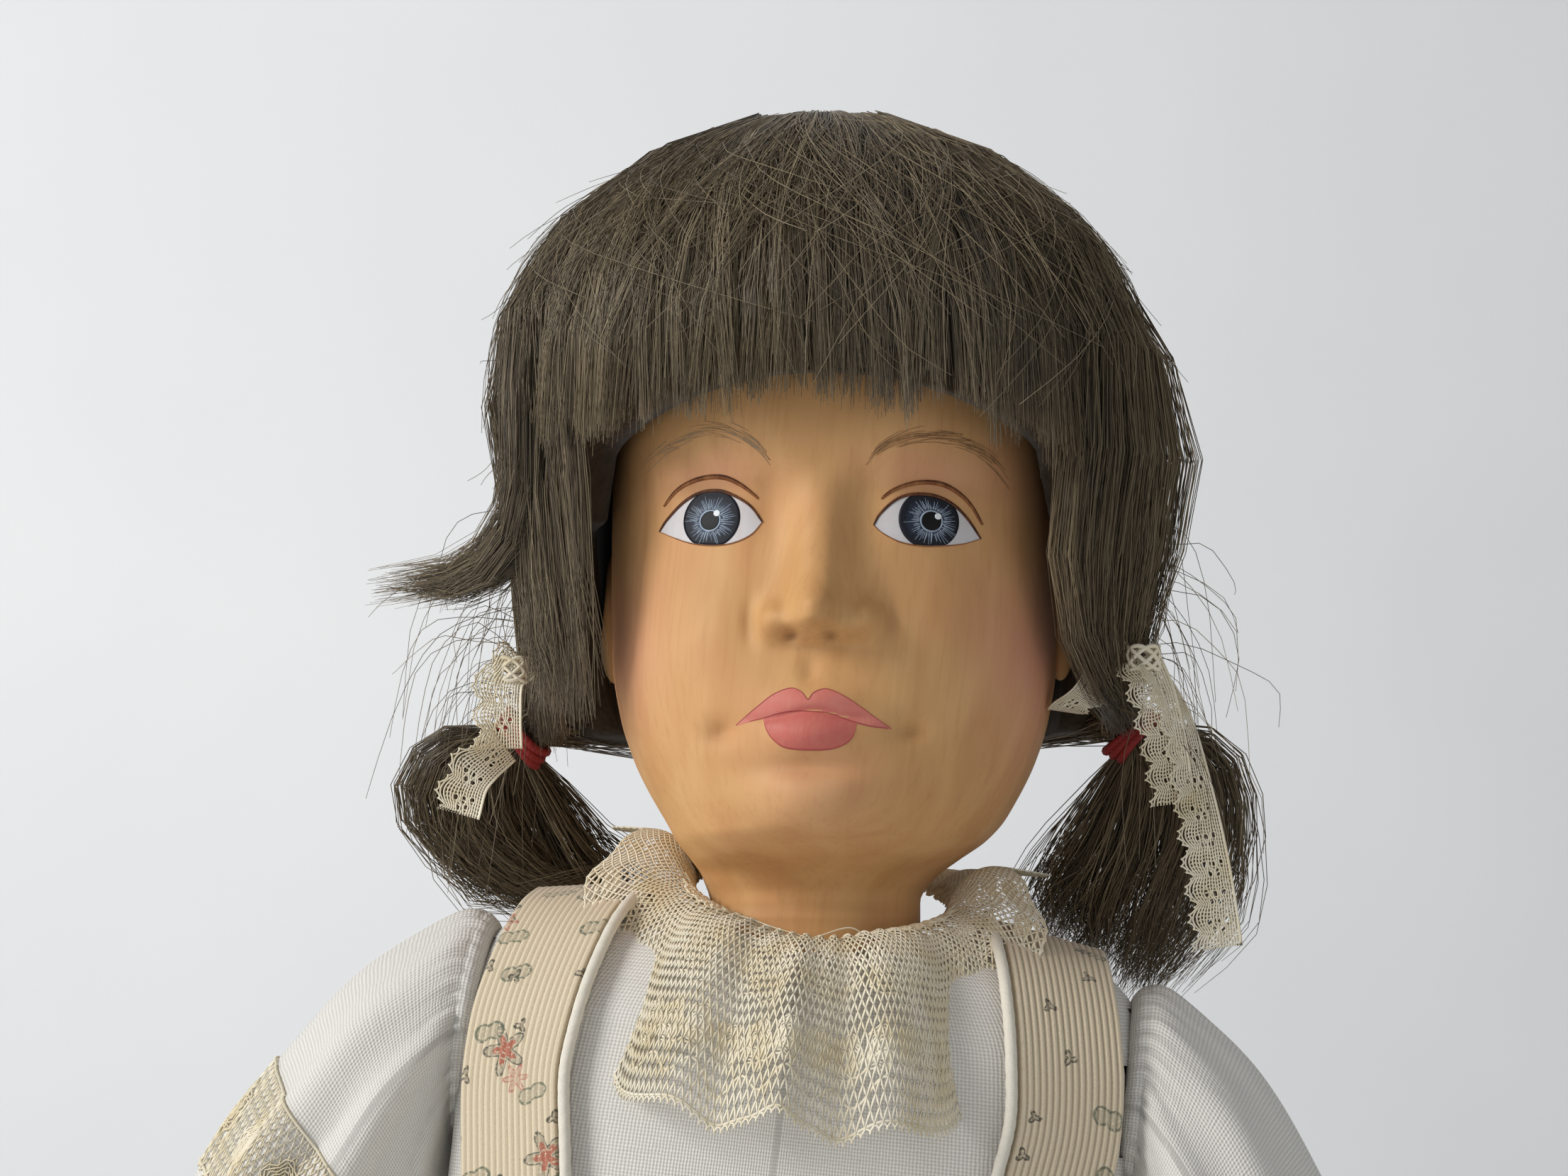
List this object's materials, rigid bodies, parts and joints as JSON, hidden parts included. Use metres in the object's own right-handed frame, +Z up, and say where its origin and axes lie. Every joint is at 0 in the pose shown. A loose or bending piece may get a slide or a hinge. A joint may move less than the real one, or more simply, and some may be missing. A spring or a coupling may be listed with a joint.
{
  "type": "collectible doll",
  "caption": "Standing carved wooden doll with a painted face, pigtailed wig, lace collar, full sleeves, divided skirt, shoes, and pinned joints with a ball neck.",
  "frame": {"origin": "on the floor under the middle of the doll, between the soles", "axes": "+Z up, +X towards the doll's own left, -Y the way the doll looks"},
  "size_m": [0.2916, 0.1276, 0.6101],
  "materials": {
    "wood": "stained and waxed maple, satin",
    "hair": "ash-brown wig hair",
    "steel": "plain steel hardware",
    "felt": "wool felt",
    "net": "wig net",
    "elastic": "red covered elastic",
    "lace": "cream cotton lace",
    "cotton": "white cotton with a linen weave",
    "corduroy": "cream fine-wale corduroy with a scattered floral print",
    "piping": "white cotton piping",
    "button": "cream shell-like button",
    "sock": "knitted cotton",
    "leather": "brown leather",
    "sole": "dark rubber sole"
  },
  "bodies": {
    "torso": {"torso": "wood", "shoulder_pin_left": "steel", "shoulder_pin_right": "steel", "hip_pin_left": "steel", "hip_pin_right": "steel", "blouse_body": "cotton", "collar": "lace", "strap_left": "corduroy", "strap_right": "corduroy", "strap_piping_left": "piping", "strap_piping_right": "piping", "waistband": "corduroy", "strap_button_left": "button", "strap_button_right": "button"},
    "neck_felt": {"neck_felt": "felt"},
    "neck_saddle": {"neck_saddle": "steel"},
    "head": {"head": "wood", "neck_bolt": "steel", "neck_spring": "steel", "neck_nut": "steel", "wig_cap": "net", "hair_bangs": "hair", "hair_crown": "hair", "hair_side_left": "hair", "hair_side_right": "hair", "pigtail_left": "hair", "pigtail_right": "hair", "hair_band_left": "elastic", "hair_band_right": "elastic", "ribbon_left": "lace", "ribbon_right": "lace"},
    "upper_arm_left": {"upper_arm_left": "wood", "elbow_pin_left": "steel", "sleeve_left": "cotton", "sleeve_lace_left": "lace"},
    "forearm_left": {"forearm_left": "wood", "lower_sleeve_left": "cotton"},
    "thigh_left": {"thigh_left": "wood", "knee_pin_left": "steel", "culotte_left": "corduroy"},
    "shin_left": {"shin_left": "wood", "sock_left": "sock", "shoe_left": "leather", "sole_left": "sole"},
    "upper_arm_right": {"upper_arm_right": "wood", "elbow_pin_right": "steel", "sleeve_right": "cotton", "sleeve_lace_right": "lace"},
    "forearm_right": {"forearm_right": "wood", "lower_sleeve_right": "cotton"},
    "thigh_right": {"thigh_right": "wood", "knee_pin_right": "steel", "culotte_right": "corduroy"},
    "shin_right": {"shin_right": "wood", "sock_right": "sock", "shoe_right": "leather", "sole_right": "sole"}
  },
  "joints": [
    {"name": "head_turn", "type": "hinge", "parent": "torso", "child": "neck_felt", "pos_m": [0, 0, 0.471], "axis": [0, 0, 1], "range_deg": [-70, 70], "deforming": ["collar"]},
    {"name": "head_tilt", "type": "hinge", "parent": "neck_felt", "child": "neck_saddle", "pos_m": [0, 0, 0.471], "axis": [0, 1, 0], "range_deg": [-2, 13], "deforming": ["pigtail_left", "pigtail_right", "ribbon_left", "ribbon_right"]},
    {"name": "head_nod", "type": "hinge", "parent": "neck_saddle", "child": "head", "pos_m": [0, 0, 0.471], "axis": [1, 0, 0], "range_deg": [-8, 8]},
    {"name": "shoulder_left", "type": "hinge", "parent": "torso", "child": "upper_arm_left", "pos_m": [0.0593, 0, 0.452], "axis": [-1, 0, 0], "range_deg": [-40, 170]},
    {"name": "elbow_left", "type": "hinge", "parent": "upper_arm_left", "child": "forearm_left", "pos_m": [0.09788, 0, 0.37291], "axis": [-0.8988, 0, -0.4384], "range_deg": [-15, 105], "deforming": ["sleeve_left", "sleeve_lace_left", "lower_sleeve_left"]},
    {"name": "hip_left", "type": "hinge", "parent": "torso", "child": "thigh_left", "pos_m": [0.0278, 0, 0.275], "axis": [-1, 0, 0], "range_deg": [-15, 90], "deforming": ["culotte_left"]},
    {"name": "knee_left", "type": "hinge", "parent": "thigh_left", "child": "shin_left", "pos_m": [0.0278, 0, 0.155], "axis": [1, 0, 0], "range_deg": [0, 100]},
    {"name": "shoulder_right", "type": "hinge", "parent": "torso", "child": "upper_arm_right", "pos_m": [-0.0593, 0, 0.452], "axis": [-1, 0, 0], "range_deg": [-40, 170]},
    {"name": "elbow_right", "type": "hinge", "parent": "upper_arm_right", "child": "forearm_right", "pos_m": [-0.09788, 0, 0.37291], "axis": [-0.8988, 0, 0.4384], "range_deg": [-15, 105], "deforming": ["sleeve_right", "sleeve_lace_right", "lower_sleeve_right"]},
    {"name": "hip_right", "type": "hinge", "parent": "torso", "child": "thigh_right", "pos_m": [-0.0278, 0, 0.275], "axis": [-1, 0, 0], "range_deg": [-15, 90], "deforming": ["culotte_right"]},
    {"name": "knee_right", "type": "hinge", "parent": "thigh_right", "child": "shin_right", "pos_m": [-0.0278, 0, 0.155], "axis": [1, 0, 0], "range_deg": [0, 100]}
  ]
}
